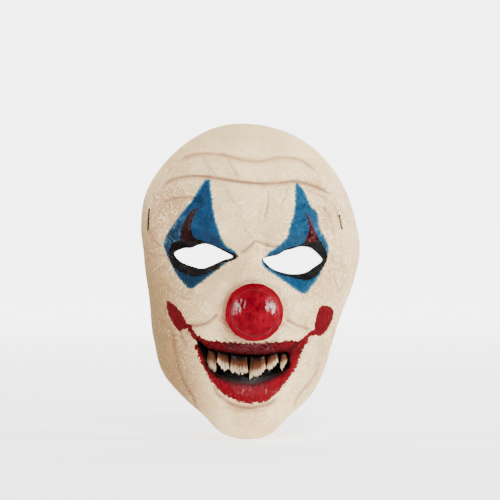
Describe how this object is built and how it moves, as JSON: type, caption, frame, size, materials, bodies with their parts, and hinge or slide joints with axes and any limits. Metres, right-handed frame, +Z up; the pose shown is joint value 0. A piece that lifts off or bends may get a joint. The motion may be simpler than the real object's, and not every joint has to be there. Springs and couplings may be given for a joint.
{
  "type": "clown mask with elastic",
  "caption": "Wrinkled latex clown face mask with a round red nose, blue eye patches, red lips, raised teeth, eye holes and an elastic round the head.",
  "frame": {"origin": "inner side of the wall between the eyes, where the mask sits on its wearer's face", "axes": "+Z up, -Y the way that the mask looks, +X to the right of one who looks at its face"},
  "size_m": [0.1592, 0.23, 0.2241],
  "materials": {
    "face_latex": "satin",
    "nose_latex": "gloss",
    "tooth_latex": "satin",
    "elastic": "matte"
  },
  "bodies": {
    "root": {"face_shell": "face_latex", "nose": "nose_latex", "tooth_row": "tooth_latex", "elastic_strap": "elastic"}
  },
  "joints": []
}
